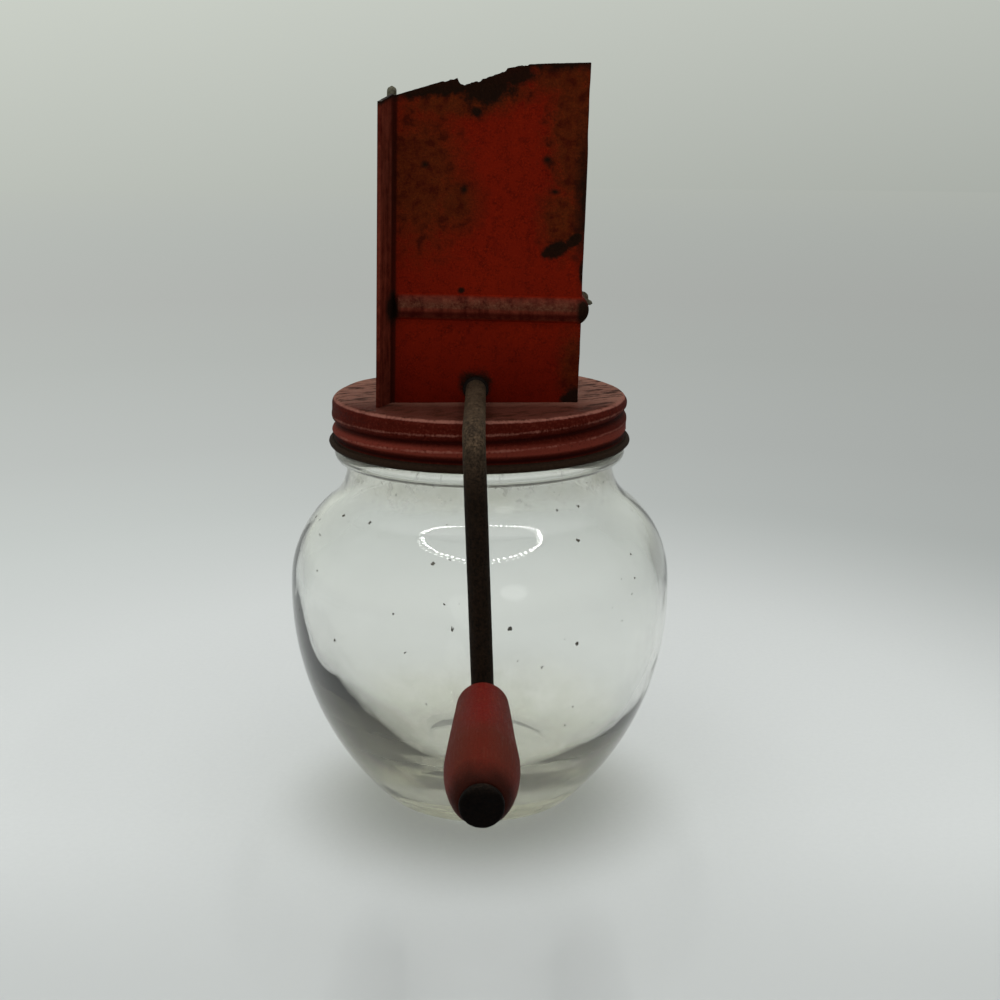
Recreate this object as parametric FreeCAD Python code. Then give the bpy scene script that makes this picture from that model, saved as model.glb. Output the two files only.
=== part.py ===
import FreeCAD, Part
import math
import os

from FreeCAD import Vector

os.makedirs("parts", exist_ok=True)

# Hand-cranked nut chopper: a glass jar, a tin screw lid with a sheet-metal hopper on it,
# and a bent-rod crank that turns four cutter blades between two fixed combs.
# Millimetres, +Z up. The origin is the middle of the jar's base, on the table.
# The crank and the hopper's front face -Y.

# Driving dimensions of the jar
belly_r = 50.7
belly_z = 57.5
body_arc_r = 80.0
shoulder_start_z = 63.0
shoulder_arc_r = 27.0
heel_r = 6.0
neck_r = 35.1
neck_fillet_r = 12.0
finish_r = 36.2
neck_bead_bottom_z = 94.0
neck_bead_bottom_r = 36.9
neck_bead_r = 38.2
neck_bead_middle_z = 95.9
neck_bead_top_z = 97.6
rim_z = 109.35
rim_round_r = 1.0
jar_wall = 2.8
bore_r = 32.0
bore_fillet_r = 15.0
floor_z = 8.5
floor_round_r = 6.0
bowl_arc_r = 59.0

# Driving dimensions of the screw thread
thread_pitch = 6.0
thread_crest_r = 37.3
thread_wire_r = 1.1
jar_thread_start_deg = -90.0
jar_thread_end_deg = 270.0
thread_above_ridge = 2.7
ridge_start_deg = 20.0
ridge_end_deg = 400.0
ridge_half_turn_drop = 7.05
ridge_depth = 1.25
ridge_wire_r = 1.3
ridge_overrun_deg = 1.5

# Driving dimensions of the lid
liner_thickness = 1.0
liner_clearance = 1.8
lid_sheet = 0.4
lid_r = 38.5
lid_shoulder_r = 2.0
skirt_foot_r = 38.0
skirt_foot_z = 101.2
skirt_step = 0.6
curl_wire_r = 0.9
curl_r = 38.6
curl_z = 98.75
cutout_ledge = 1.0
slot_clearance = 0.1

# Driving dimensions of the hopper
hopper_sheet = 0.45
hopper_width = 47.2
hopper_depth = 29.8
hopper_offset_x = 1.3
hopper_lean_deg = 1.5
hopper_top_z = 196.0
bead_z = 134.6
bead_half_height = 3.3
bead_proud = 1.9
seam_forward = 6.8
seam_outward = 3.2
seam_top_z = 183.7
tab_width = 8.0
tab_length = 4.0
tab_offset_x = 14.0
rear_top_left_z = 184.6
rear_top_right_z = 192.4

# The torn front edge of the hopper, as x and z on the front panel
torn_edge = [
    (-30.0, 182.6), (-20.5, 185.3), (-6.0, 189.4), (-4.8, 189.6), (-4.2, 188.5),
    (-3.2, 188.0), (-1.4, 188.7), (0.7, 189.0), (1.6, 189.6), (6.5, 191.2),
    (7.0, 191.9), (9.9, 192.5), (16.6, 192.8), (30.0, 193.1),
]

# Driving dimensions of the crank and its grip
rod_r = 2.55
shaft_x = -0.8
shaft_z = 113.9
crank_radius = 59.2
arm_y = -71.0
upper_bend_r = 9.0
lower_bend_r = 5.0
crank_lean_deg = 1.75
shaft_hole_clearance = 0.08
end_clearance = 0.3
head_r = 2.85
head_thickness = 1.0
grip_back_y = -77.0
grip_length = 47.3
grip_back_r = 5.75
grip_swell_r = 7.6
grip_swell_at = 32.0
grip_front_r = 4.1
grip_corner_r = 1.2
grip_bore_clearance = 0.1
cap_r = 4.35
cap_thickness = 2.2
cap_edge_r = 0.8
cap_seat_depth = 1.2
cap_gap = 0.2

# Driving dimensions of the cutter
blade_count = 4
blade_thickness = 1.2
blade_reach = 13.0
blade_width = 4.2
blade_hub_r = 4.5
blade_turn_deg = 45.0
spacer_r = 4.0
washer_r = 5.0
washer_thickness = 0.8
comb_thickness = 1.2
tooth_width = 2.6
tooth_tip_x = 4.5
tooth_root_gap = 1.2
comb_half_depth = 13.2
comb_seat = 4.5

# Driving dimensions of the cross wire
wire_r = 1.2
wire_z = 134.8
wire_right_x = 29.4
wire_foot_gap = 1.2
wire_top_z = 188.0
wire_bend_r = 2.6
wire_hole_clearance = 0.05
solder_height = 1.4
solder_foot_r = 2.6
solder_tip_r = 1.6

# Places that follow from the driving dimensions
lid_under_z = rim_z + liner_thickness
lid_top_z = lid_under_z + lid_sheet
lid_inner_r = lid_r - lid_sheet
ridge_half_turn_z = lid_top_z - ridge_half_turn_drop
rod_hole_r = rod_r + shaft_hole_clearance
hopper_half_depth = hopper_depth / 2
hopper_front_y = -hopper_half_depth
hopper_inner_y = hopper_half_depth - hopper_sheet
hopper_left_x = hopper_offset_x - hopper_width / 2
hopper_right_x = hopper_offset_x + hopper_width / 2
grip_z = shaft_z - crank_radius
cap_y = grip_back_y - grip_length - cap_gap
spindle_end_y = cap_y - cap_seat_depth
stack_half = hopper_inner_y - end_clearance - washer_thickness
spacer_length = (2 * stack_half - blade_count * blade_thickness) / (blade_count + 1)
blade_pitch = spacer_length + blade_thickness
head_y = hopper_half_depth + end_clearance
cutout_left_x = hopper_left_x + hopper_sheet + cutout_ledge
cutout_right_x = hopper_right_x - hopper_sheet - cutout_ledge
cutout_half_y = hopper_inner_y
centre_line = Vector(0, 0, 0)
up = Vector(0, 0, 1)
along_y = Vector(0, 1, 0)


def export(shape, node):
    """Write one node's solids to its own file."""
    shape.exportStep("parts/" + node + ".step")


def box(x0, x1, y0, y1, z0, z1):
    return Part.makeBox(x1 - x0, y1 - y0, z1 - z0, Vector(x0, y0, z0))


def rod_y(radius, y0, y1, x=0.0, z=0.0):
    """A round bar along Y."""
    return Part.makeCylinder(radius, y1 - y0, Vector(x, y0, z), along_y)


def ring_y(outer_r, inner_r, y0, y1, z):
    return rod_y(outer_r, y0, y1, shaft_x, z).cut(rod_y(inner_r, y0, y1, shaft_x, z))


def line(a, b):
    return Part.LineSegment(a, b).toShape()


def chain(points):
    """Straight edges through the given points."""
    return [line(a, b) for a, b in zip(points, points[1:])]


def arc_about(centre_r, centre_z, radius, start_deg, end_deg):
    """An arc in the XZ plane, given by its centre, radius and two angles from +X."""
    ends = []
    for degrees in (start_deg, (start_deg + end_deg) / 2, end_deg):
        angle = math.radians(degrees)
        ends.append(Vector(centre_r + radius * math.cos(angle), 0,
                           centre_z + radius * math.sin(angle)))
    return Part.Arc(*ends).toShape()


def spin(edges, axis=up):
    """The solid of revolution of a closed outline."""
    face = Part.Face(Part.Wire(Part.__sortEdges__(edges)))
    return Part.makeSolid(face.revolve(centre_line, axis, 360))


def edges_at(shape, radius, height, reach=0.05):
    """The circular edges of a turned solid at one radius and height."""
    found = []
    for edge in shape.Edges:
        if edge.Curve.TypeId != "Part::GeomCircle":
            continue
        if abs(edge.Curve.Radius - radius) < reach and abs(edge.Curve.Center.z - height) < reach:
            found.append(edge)
    return found


def helical_bar(wire_radius, path_radius, start_deg, end_deg, start_z):
    """A round bar wound on a right-handed helix about Z."""
    turns = (end_deg - start_deg) / 360
    path = Part.makeHelix(thread_pitch, turns * thread_pitch, path_radius)
    profile = Part.Wire(Part.makeCircle(wire_radius, Vector(path_radius, 0, 0), along_y))
    bar = Part.Wire(path.Edges).makePipeShell([profile], True, True)
    bar.rotate(centre_line, up, start_deg)
    bar.translate(Vector(0, 0, start_z))
    return bar


def ridge_z(degrees):
    """Height of the lid's rolled thread groove at one angle round the lid."""
    return ridge_half_turn_z + thread_pitch * (degrees - 180) / 360


def rounded_path(points, radii):
    """A wire of straight runs joined by tangent arcs, one radius for each inner point."""
    edges = []
    start = points[0]
    for before, corner, after, radius in zip(points, points[1:], points[2:], radii):
        back = (before - corner).normalize()
        ahead = (after - corner).normalize()
        half = back.getAngle(ahead) / 2
        reach = radius / math.tan(half)
        middle = (back + ahead).normalize() * (radius / math.sin(half) - radius)
        enter = corner + back * reach
        leave = corner + ahead * reach
        edges.append(line(start, enter))
        edges.append(Part.Arc(enter, corner + middle, leave).toShape())
        start = leave
    edges.append(line(start, points[-1]))
    return Part.Wire(edges)


def bar_along(path, radius):
    """A round bar swept along a wire."""
    first = path.OrderedEdges[0]
    start = first.valueAt(first.FirstParameter)
    heading = first.tangentAt(first.FirstParameter)
    profile = Part.Wire(Part.makeCircle(radius, start, heading))
    return path.makePipeShell([profile], True, False)


def make_jar():
    """Pressed glass: round belly, short neck with a bead, threaded mouth, thick base."""
    body_x = belly_r - body_arc_r
    shoulder_deg = math.degrees(math.asin((shoulder_start_z - belly_z) / body_arc_r))
    base_deg = -math.degrees(math.asin(belly_z / body_arc_r))
    base_r = body_x + body_arc_r * math.cos(math.radians(base_deg))
    shift = body_arc_r - shoulder_arc_r
    shoulder_x = body_x + shift * math.cos(math.radians(shoulder_deg))
    shoulder_z = belly_z + shift * math.sin(math.radians(shoulder_deg))
    neck_deg = math.degrees(math.acos((neck_r - shoulder_x) / shoulder_arc_r))
    neck_z = shoulder_z + shoulder_arc_r * math.sin(math.radians(neck_deg))
    outline = chain([Vector(0, 0, rim_z), Vector(0, 0, 0), Vector(base_r, 0, 0)])
    outline.append(arc_about(body_x, belly_z, body_arc_r, base_deg, shoulder_deg))
    outline.append(arc_about(shoulder_x, shoulder_z, shoulder_arc_r, shoulder_deg, neck_deg))
    bead_bottom = Vector(neck_bead_bottom_r, 0, neck_bead_bottom_z)
    bead_top = Vector(finish_r, 0, neck_bead_top_z)
    outline += chain([
        Vector(neck_r, 0, neck_z), Vector(neck_r, 0, neck_bead_bottom_z), bead_bottom,
    ])
    outline.append(Part.Arc(bead_bottom, Vector(neck_bead_r, 0, neck_bead_middle_z),
                            bead_top).toShape())
    outline += chain([bead_top, Vector(finish_r, 0, rim_z), Vector(0, 0, rim_z)])
    outer = spin(outline)
    outer = outer.makeFillet(heel_r, edges_at(outer, base_r, 0))
    outer = outer.makeFillet(neck_fillet_r, edges_at(outer, neck_r, neck_z))

    inner_belly_r = belly_r - jar_wall
    bowl_x = inner_belly_r - bowl_arc_r
    floor_deg = -math.degrees(math.asin((belly_z - floor_z) / bowl_arc_r))
    floor_r = bowl_x + bowl_arc_r * math.cos(math.radians(floor_deg))
    inner_arc_r = shoulder_arc_r - jar_wall
    bore_deg = math.degrees(math.acos((bore_r - shoulder_x) / inner_arc_r))
    bore_z = shoulder_z + inner_arc_r * math.sin(math.radians(bore_deg))
    cavity_line = chain([Vector(0, 0, rim_z), Vector(0, 0, floor_z), Vector(floor_r, 0, floor_z)])
    cavity_line.append(arc_about(bowl_x, belly_z, bowl_arc_r, floor_deg, 0))
    cavity_line.append(arc_about(body_x, belly_z, body_arc_r - jar_wall, 0, shoulder_deg))
    cavity_line.append(arc_about(shoulder_x, shoulder_z, inner_arc_r, shoulder_deg, bore_deg))
    cavity_line += chain([Vector(bore_r, 0, bore_z), Vector(bore_r, 0, rim_z), Vector(0, 0, rim_z)])
    cavity = spin(cavity_line)
    cavity = cavity.makeFillet(floor_round_r, edges_at(cavity, floor_r, floor_z))
    cavity = cavity.makeFillet(bore_fillet_r, edges_at(cavity, bore_r, bore_z))

    jar = outer.cut(cavity)
    rim_edges = edges_at(jar, finish_r, rim_z) + edges_at(jar, bore_r, rim_z)
    jar = jar.makeFillet(rim_round_r, rim_edges)
    thread = helical_bar(thread_wire_r, thread_crest_r - thread_wire_r, jar_thread_start_deg,
                         jar_thread_end_deg, ridge_z(jar_thread_start_deg) + thread_above_ridge)
    bore = Part.makeCylinder((bore_r + finish_r) / 2, rim_z)
    return jar.fuse(thread.cut(bore))


def make_liner():
    """Paperboard ring between the jar's rim and the lid."""
    outer = Part.makeCylinder(lid_inner_r - liner_clearance, liner_thickness, Vector(0, 0, rim_z))
    return outer.cut(Part.makeCylinder(bore_r, liner_thickness, Vector(0, 0, rim_z)))


def lid_outline(radius, foot_radius, top_z, corner_r, foot_z):
    """Half section of the lid's outside, or of its hollow."""
    edges = chain([Vector(0, 0, foot_z), Vector(0, 0, top_z), Vector(radius - corner_r, 0, top_z)])
    edges.append(arc_about(radius - corner_r, top_z - corner_r, corner_r, 90, 0))
    edges += chain([
        Vector(radius, 0, top_z - corner_r),
        Vector(radius, 0, skirt_foot_z + skirt_step),
        Vector(foot_radius, 0, skirt_foot_z),
        Vector(foot_radius, 0, foot_z),
        Vector(0, 0, foot_z),
    ])
    return spin(edges)


def make_lid():
    """Tinplate screw lid: rolled thread, curled foot, cut-out and tab slots for the hopper."""
    outer = lid_outline(lid_r, skirt_foot_r, lid_top_z, lid_shoulder_r, curl_z)
    hollow = lid_outline(lid_inner_r, skirt_foot_r - lid_sheet, lid_under_z,
                         lid_shoulder_r - lid_sheet, curl_z)
    ridge_path_r = lid_r - ridge_depth + ridge_wire_r
    groove = helical_bar(ridge_wire_r, ridge_path_r, ridge_start_deg, ridge_end_deg,
                         ridge_z(ridge_start_deg))
    first_deg = ridge_start_deg - ridge_overrun_deg
    last_deg = ridge_end_deg + ridge_overrun_deg
    ridge = helical_bar(ridge_wire_r + lid_sheet, ridge_path_r, first_deg, last_deg,
                        ridge_z(first_deg))
    lid = outer.cut(groove).cut(hollow.cut(ridge))
    curl = Part.makeTorus(curl_r, curl_wire_r, Vector(0, 0, curl_z))
    lid = lid.fuse(curl)
    lid = lid.cut(box(cutout_left_x, cutout_right_x, -cutout_half_y, cutout_half_y,
                      lid_under_z, lid_top_z))
    for side_y in (-1, 1):
        for tab_x in (-tab_offset_x, tab_offset_x):
            lid = lid.cut(slot_for_tab(tab_x, side_y))
    return lid


def slot_for_tab(tab_x, side_y):
    half = tab_width / 2 + slot_clearance
    near = side_y * (hopper_inner_y - slot_clearance)
    far = side_y * (hopper_half_depth + slot_clearance)
    return box(tab_x - half, tab_x + half, min(near, far), max(near, far), lid_under_z, lid_top_z)


def beaded_face(half_span, proud, radius, bead_side, other_side, z0, z1):
    """Outline of a box section with a half-round bead on one of its two faces."""
    outside = half_span * bead_side
    plain = half_span * other_side
    rise = math.sqrt(radius ** 2 - (radius - proud) ** 2)
    low = (outside, bead_z - rise)
    crest = (outside + proud * bead_side, bead_z)
    high = (outside, bead_z + rise)
    return [(plain, z0), (outside, z0), low, crest, high, (outside, z1), (plain, z1)]


def beaded_prism(outline, along_x, half_length):
    """Extrude a beaded outline along X or along Y."""
    points = []
    for side, height in outline:
        if along_x:
            points.append(Vector(-half_length, side, height))
        else:
            points.append(Vector(side, -half_length, height))
    plain_low, corner_low, low, crest, high, corner_high, plain_high = points
    edges = [
        line(plain_low, corner_low), line(corner_low, low),
        Part.Arc(low, crest, high).toShape(),
        line(high, corner_high), line(corner_high, plain_high), line(plain_high, plain_low),
    ]
    depth = Vector(2 * half_length, 0, 0) if along_x else Vector(0, 2 * half_length, 0)
    return Part.Face(Part.Wire(edges)).extrude(depth)


def hopper_block(inset, z0, z1):
    """The hopper's outside, or its hollow when inset by the sheet's thickness."""
    bead_r = (bead_half_height ** 2 + bead_proud ** 2) / (2 * bead_proud) - inset
    span = hopper_width + 4 * bead_proud
    front = beaded_face(hopper_half_depth - inset, bead_proud, bead_r, -1, 1, z0, z1)
    right = beaded_face(hopper_width / 2 - inset, bead_proud, bead_r, 1, -1, z0, z1)
    block = beaded_prism(front, True, span).common(beaded_prism(right, False, span))
    block.translate(Vector(hopper_offset_x, 0, 0))
    return block


def lean_hopper(shape):
    """Tilt a shape with the hopper, which leans a little to the right."""
    shape.rotate(Vector(hopper_offset_x, 0, lid_top_z), along_y, hopper_lean_deg)
    return shape


def prism_y(outline, y0, y1):
    """Extrude an outline of x and z points along Y."""
    points = [Vector(x, y0, z) for x, z in outline]
    return Part.Face(Part.Wire(chain(points + points[:1]))).extrude(Vector(0, y1 - y0, 0))


def make_hopper():
    """One tinplate sheet: four walls, bead, standing seam, torn top, clinch tabs."""
    below = lid_top_z - 2 * bead_proud
    walls = hopper_block(0, below, hopper_top_z).cut(
        hopper_block(hopper_sheet, below, hopper_top_z))
    seam_thickness = 2 * hopper_sheet
    corner = Vector(hopper_left_x, hopper_front_y + hopper_sheet, below)
    tip = Vector(hopper_left_x - seam_outward, hopper_front_y - seam_forward, below)
    across = Vector(seam_thickness, 0, 0)
    seam_face = Part.Face(Part.Wire(chain([corner, tip, tip + across, corner + across, corner])))
    seam = seam_face.extrude(Vector(0, 0, seam_top_z - below))
    shell = lean_hopper(walls.fuse(seam))
    far = 2 * hopper_width
    shell = shell.cut(box(-far, far, -far, far, below - far, lid_top_z))
    above = hopper_top_z + bead_proud
    torn = torn_edge + [(torn_edge[-1][0], above), (torn_edge[0][0], above)]
    shell = shell.cut(prism_y(torn, -hopper_depth, hopper_front_y + 2 * hopper_sheet))
    slant = [(hopper_left_x, rear_top_left_z), (hopper_right_x + bead_proud, rear_top_right_z),
             (far, rear_top_right_z), (far, above), (-far, above), (-far, rear_top_left_z)]
    shell = shell.cut(prism_y(slant, hopper_front_y + 2 * hopper_sheet, hopper_depth))
    shell = shell.cut(rod_y(rod_hole_r, -hopper_depth, hopper_depth, shaft_x, shaft_z))
    wire_hole = Part.makeCylinder(wire_r + wire_hole_clearance, far, Vector(-hopper_width, 0, wire_z),
                                  Vector(1, 0, 0))
    shell = shell.cut(wire_hole)
    for side_y in (-1, 1):
        for tab_x in (-tab_offset_x, tab_offset_x):
            shell = shell.fuse(clinch_tab(tab_x, side_y))
    return shell


def clinch_tab(tab_x, side_y):
    """A tab that goes down through its slot and is bent out under the lid."""
    half = tab_width / 2
    inner = side_y * hopper_inner_y
    outer = side_y * hopper_half_depth
    end = outer + side_y * tab_length
    bend_z = lid_under_z - hopper_sheet
    leg = box(tab_x - half, tab_x + half, min(inner, outer), max(inner, outer), bend_z, lid_top_z)
    foot = box(tab_x - half, tab_x + half, min(inner, end), max(inner, end), bend_z, lid_under_z)
    return leg.fuse(foot)


def make_comb(side):
    """A flat toothed plate under the lid. side is -1 for the left one, 1 for the right one."""
    edge_x = shaft_x - cutout_left_x if side < 0 else cutout_right_x - shaft_x
    root_x = blade_reach + tooth_root_gap
    z0 = lid_under_z - comb_thickness
    plate = box(root_x, edge_x + comb_seat, -comb_half_depth, comb_half_depth, z0, lid_under_z)
    for index in range(blade_count + 1):
        y = (index - blade_count / 2) * blade_pitch
        plate = plate.fuse(box(tooth_tip_x, root_x, y - tooth_width / 2, y + tooth_width / 2,
                               z0, lid_under_z))
    if side < 0:
        plate = plate.mirror(centre_line, Vector(1, 0, 0))
    plate.translate(Vector(shaft_x, 0, 0))
    return plate.removeSplitter()


def make_blade(index):
    """A stamped two-armed cutter, pressed on the shaft."""
    y0 = -stack_half + spacer_length + index * blade_pitch
    y1 = y0 + blade_thickness
    arm_end = blade_reach - blade_width / 2
    blade = rod_y(blade_hub_r, y0, y1)
    blade = blade.fuse(box(-arm_end, arm_end, y0, y1, -blade_width / 2, blade_width / 2))
    for x in (-arm_end, arm_end):
        blade = blade.fuse(rod_y(blade_width / 2, y0, y1, x))
    blade = blade.cut(rod_y(rod_r, y0, y1)).removeSplitter()
    blade.rotate(centre_line, along_y, index * blade_turn_deg)
    blade.translate(Vector(shaft_x, 0, shaft_z))
    return blade


def make_spacer(index):
    y0 = -stack_half + index * blade_pitch
    return ring_y(spacer_r, rod_r, y0, y0 + spacer_length, shaft_z)


def lean_crank(shape):
    """Hang a shape with the crank arm, which is a little off the vertical."""
    shape.rotate(Vector(0, 0, shaft_z), along_y, -crank_lean_deg)
    shape.translate(Vector(shaft_x, 0, 0))
    return shape


def make_crank_rod():
    """One round bar: shaft, arm and spindle, with a mushroomed end at the back."""
    path = rounded_path(
        [Vector(0, head_y, shaft_z), Vector(0, arm_y, shaft_z), Vector(0, arm_y, grip_z),
         Vector(0, spindle_end_y, grip_z)],
        [upper_bend_r, lower_bend_r])
    rod = lean_crank(bar_along(path, rod_r))
    return rod.fuse(rod_y(head_r, head_y, head_y + head_thickness, shaft_x, shaft_z))


def make_grip():
    """Turned wooden grip: a straight taper that swells, then rounds in to the cap."""
    nose_end = Vector(grip_front_r, -grip_length, 0)
    swell_top = Vector(grip_swell_r, -grip_swell_at, 0)
    nose = Part.Ellipse(nose_end, swell_top, Vector(grip_front_r, -grip_swell_at, 0))
    bore = rod_r + grip_bore_clearance
    edges = chain([nose_end, Vector(bore, -grip_length, 0), Vector(bore, 0, 0),
                   Vector(grip_back_r, 0, 0), swell_top])
    edges.append(Part.ArcOfEllipse(nose, 0, math.pi / 2).toShape())
    grip = spin(edges, along_y)
    back = [edge for edge in grip.Edges
            if edge.Curve.TypeId == "Part::GeomCircle"
            and abs(edge.Curve.Radius - grip_back_r) < 0.01 and abs(edge.Curve.Center.y) < 0.01]
    grip = grip.makeFillet(grip_corner_r, back)
    grip.translate(Vector(0, grip_back_y, grip_z))
    return lean_crank(grip)


def make_cap():
    """Steel cap riveted on the end of the spindle, which keeps the grip on."""
    cap = rod_y(cap_r, cap_y - cap_thickness, cap_y)
    cap = cap.makeFillet(cap_edge_r, [edge for edge in cap.Edges
                                      if edge.Curve.TypeId == "Part::GeomCircle"])
    cap = cap.cut(rod_y(rod_r, spindle_end_y, cap_y + cap_thickness))
    cap.translate(Vector(0, 0, grip_z))
    return lean_crank(cap)


def hopper_wall_x(x, z):
    """Where a point of the hopper's wall lies at one height, once the hopper leans."""
    return x + (z - lid_top_z) * math.tan(math.radians(hopper_lean_deg))


def wire_path():
    """Centre line of the L-shaped wire: across the hopper, then up outside its left wall."""
    foot_x = hopper_wall_x(hopper_left_x, wire_z) - wire_foot_gap - wire_r
    top_x = hopper_wall_x(hopper_left_x, wire_top_z) - wire_r
    return rounded_path(
        [Vector(wire_right_x, 0, wire_z), Vector(foot_x, 0, wire_z), Vector(top_x, 0, wire_top_z)],
        [wire_bend_r])


def make_solder():
    """Solder round the wire, outside each side wall."""
    hopper = lean_hopper(hopper_block(0, lid_top_z, hopper_top_z))
    sleeve = bar_along(wire_path(), wire_r + wire_hole_clearance)
    left_x = hopper_wall_x(hopper_left_x, wire_z)
    right_x = hopper_wall_x(hopper_right_x, wire_z) + bead_proud
    flare = solder_foot_r - solder_tip_r
    blobs = []
    for wall_x, heading in ((left_x, -1), (right_x, 1)):
        start = Vector(wall_x - heading * solder_height, 0, wire_z)
        cone = Part.makeCone(solder_foot_r + flare, solder_tip_r, 2 * solder_height, start,
                             Vector(heading, 0, 0))
        blobs.append(cone.cut(hopper).cut(sleeve))
    return Part.makeCompound(blobs)


export(make_jar(), "glass_jar")
export(make_liner(), "lid_liner")
export(make_lid(), "screw_lid")
export(make_hopper(), "hopper_shell")
export(make_comb(-1), "left_comb")
export(make_comb(1), "right_comb")
export(bar_along(wire_path(), wire_r), "cross_wire")
export(make_solder(), "wire_solder")
export(make_crank_rod(), "crank_rod")
for number in range(blade_count):
    export(make_blade(number), "cutter_blade_" + str(number + 1))
for number in range(blade_count + 1):
    export(make_spacer(number), "spacer_" + str(number + 1))
export(ring_y(washer_r, rod_r, -stack_half - washer_thickness, -stack_half, shaft_z), "front_washer")
export(ring_y(washer_r, rod_r, stack_half, stack_half + washer_thickness, shaft_z), "rear_washer")
export(make_grip(), "wood_grip")
export(make_cap(), "grip_cap")
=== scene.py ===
import math

import bpy
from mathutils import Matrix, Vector, noise


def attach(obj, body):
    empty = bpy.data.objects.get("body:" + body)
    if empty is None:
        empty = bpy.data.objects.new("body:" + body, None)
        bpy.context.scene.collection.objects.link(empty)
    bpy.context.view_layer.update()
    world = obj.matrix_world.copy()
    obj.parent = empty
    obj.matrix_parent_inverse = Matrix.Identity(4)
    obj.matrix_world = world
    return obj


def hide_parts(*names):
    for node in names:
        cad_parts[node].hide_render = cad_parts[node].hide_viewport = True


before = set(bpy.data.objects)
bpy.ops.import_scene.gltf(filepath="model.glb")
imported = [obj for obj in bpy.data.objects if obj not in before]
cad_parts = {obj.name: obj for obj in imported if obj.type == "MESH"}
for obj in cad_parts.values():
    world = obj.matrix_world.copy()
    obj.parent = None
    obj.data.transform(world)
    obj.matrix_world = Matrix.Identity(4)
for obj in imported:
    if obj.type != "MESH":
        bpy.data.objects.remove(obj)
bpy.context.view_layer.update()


# Glass jar
# Pressed soda-lime glass with a thick base, a round belly and a threaded mouth.
# It is a lathe form: the outside first, over the rim, then down the inside.
# The inside wall waves a little, as pressed glass does, which bends what shows through it.
JAR_SIDES = 224
BELLY, SHOULDER = (-29.3, 57.5), (23.57, 61.14)
THREAD_PITCH = 6.0
THREAD_MIDDLE_Z = 106.4
THREAD_BULGE = 1.1


def linear(hex_colour):
    """An sRGB hex colour as the linear values that a shader takes."""
    values = []
    for start in (0, 2, 4):
        level = int(hex_colour[start:start + 2], 16) / 255
        values.append(level / 12.92 if level <= 0.04045 else ((level + 0.055) / 1.055) ** 2.4)
    return (*values, 1.0)


def add(owner, kind, inputs, family="ShaderNode", **settings):
    """Add one node. Each input is a value, or another node's output to link from."""
    tree = getattr(owner, "node_tree", owner)
    node = tree.nodes.new(family + kind)
    for name, value in settings.items():
        setattr(node, name, value)
    for name, value in inputs.items():
        if isinstance(value, bpy.types.NodeSocket):
            tree.links.new(value, node.inputs[name])
        else:
            node.inputs[name].default_value = value
    return node


def mix(material, part, first, second):
    """The second colour over the first, by a part from 0 to 1. A colour may be a hex value."""
    tones = [linear(tone) if isinstance(tone, str) else tone for tone in (first, second)]
    return add(material, "Mix", {0: part, 6: tones[0], 7: tones[1]}, data_type="RGBA").outputs[2]


def ramp(material, value, low, high, at_low=0.0, at_high=1.0, smooth=False):
    """A value that runs from at_low to at_high while the given one runs from low to high."""
    return add(material, "MapRange", {"Value": value, "From Min": low, "From Max": high,
                                      "To Min": at_low, "To Max": at_high},
               interpolation_type="SMOOTHSTEP" if smooth else "LINEAR").outputs[0]


def maths(material, operation, *values, clamp=False):
    """The result of one sum."""
    return add(material, "Math", dict(enumerate(values)), operation=operation,
               use_clamp=clamp).outputs[0]


def pattern(material, place, size, detail, roughness=0.5):
    """Cloudy noise. Its largest spots are about as wide as the size."""
    return add(material, "TexNoise", {"Vector": place, "Scale": 1 / size, "Detail": detail,
                                      "Roughness": roughness}).outputs[0]


def painted_on(material, attribute):
    """A value that the mesh carries at each point."""
    return add(material, "Attribute", {}, attribute_name=attribute).outputs["Fac"]


def stretched(material, place, factors):
    """A place with its axes scaled. The smaller the factor, the longer a pattern there."""
    return add(material, "VectorMath", {0: place, 1: factors}, operation="MULTIPLY").outputs[0]


def axis(material, place, number):
    """One coordinate of a place: 0, 1 or 2."""
    return add(material, "SeparateXYZ", {0: place}).outputs[number]


def length(material, place):
    """How far a place lies from the origin."""
    return add(material, "VectorMath", {0: place}, operation="LENGTH").outputs[1]


def start_material(name):
    """An empty material, with its place on the piece in millimetres."""
    material = bpy.data.materials.new(name)
    material.use_nodes = True
    material.node_tree.nodes.clear()
    place = add(material, "TexCoord", {})
    scaled = add(material, "VectorMath", {0: place.outputs["Object"], "Scale": 1000.0},
                 operation="SCALE")
    return material, scaled.outputs[0]


def end_material(material, colour, rough, relief, relief_mm, more={}):
    """Close a material with its one shader and its surface relief."""
    bump = add(material, "Bump", {"Height": relief, "Strength": 1.0,
                                  "Distance": relief_mm / 1000})
    shader = add(material, "BsdfPrincipled", {"Base Color": colour, "Roughness": rough, **more,
                                              "Normal": bump.outputs[0]})
    add(material, "OutputMaterial", {"Surface": shader.outputs[0]})
    return material


def mesh_piece(name, points, faces, material, **attributes):
    """A smooth mesh from points in millimetres, with one value per point for each attribute."""
    mesh = bpy.data.meshes.new(name)
    mesh.from_pydata([Vector(point) / 1000 for point in points], [], faces)
    for attribute, values in attributes.items():
        mesh.attributes.new(attribute, "FLOAT", "POINT").data.foreach_set("value", values)
    mesh.shade_smooth()
    mesh.materials.append(material)
    piece = bpy.data.objects.new(name, mesh)
    bpy.context.scene.collection.objects.link(piece)
    return piece


def arc(centre_r, centre_z, radius, start_deg, end_deg, steps):
    """Points of an arc in a half section, as radius and height."""
    points = []
    for step in range(steps + 1):
        angle = math.radians(start_deg + (end_deg - start_deg) * step / steps)
        points.append((centre_r + radius * math.cos(angle), centre_z + radius * math.sin(angle)))
    return points


def run(start, end, steps):
    """Points of a straight stretch of a half section."""
    return [(start[0] + (end[0] - start[0]) * step / steps,
             start[1] + (end[1] - start[1]) * step / steps) for step in range(steps + 1)]


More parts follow.
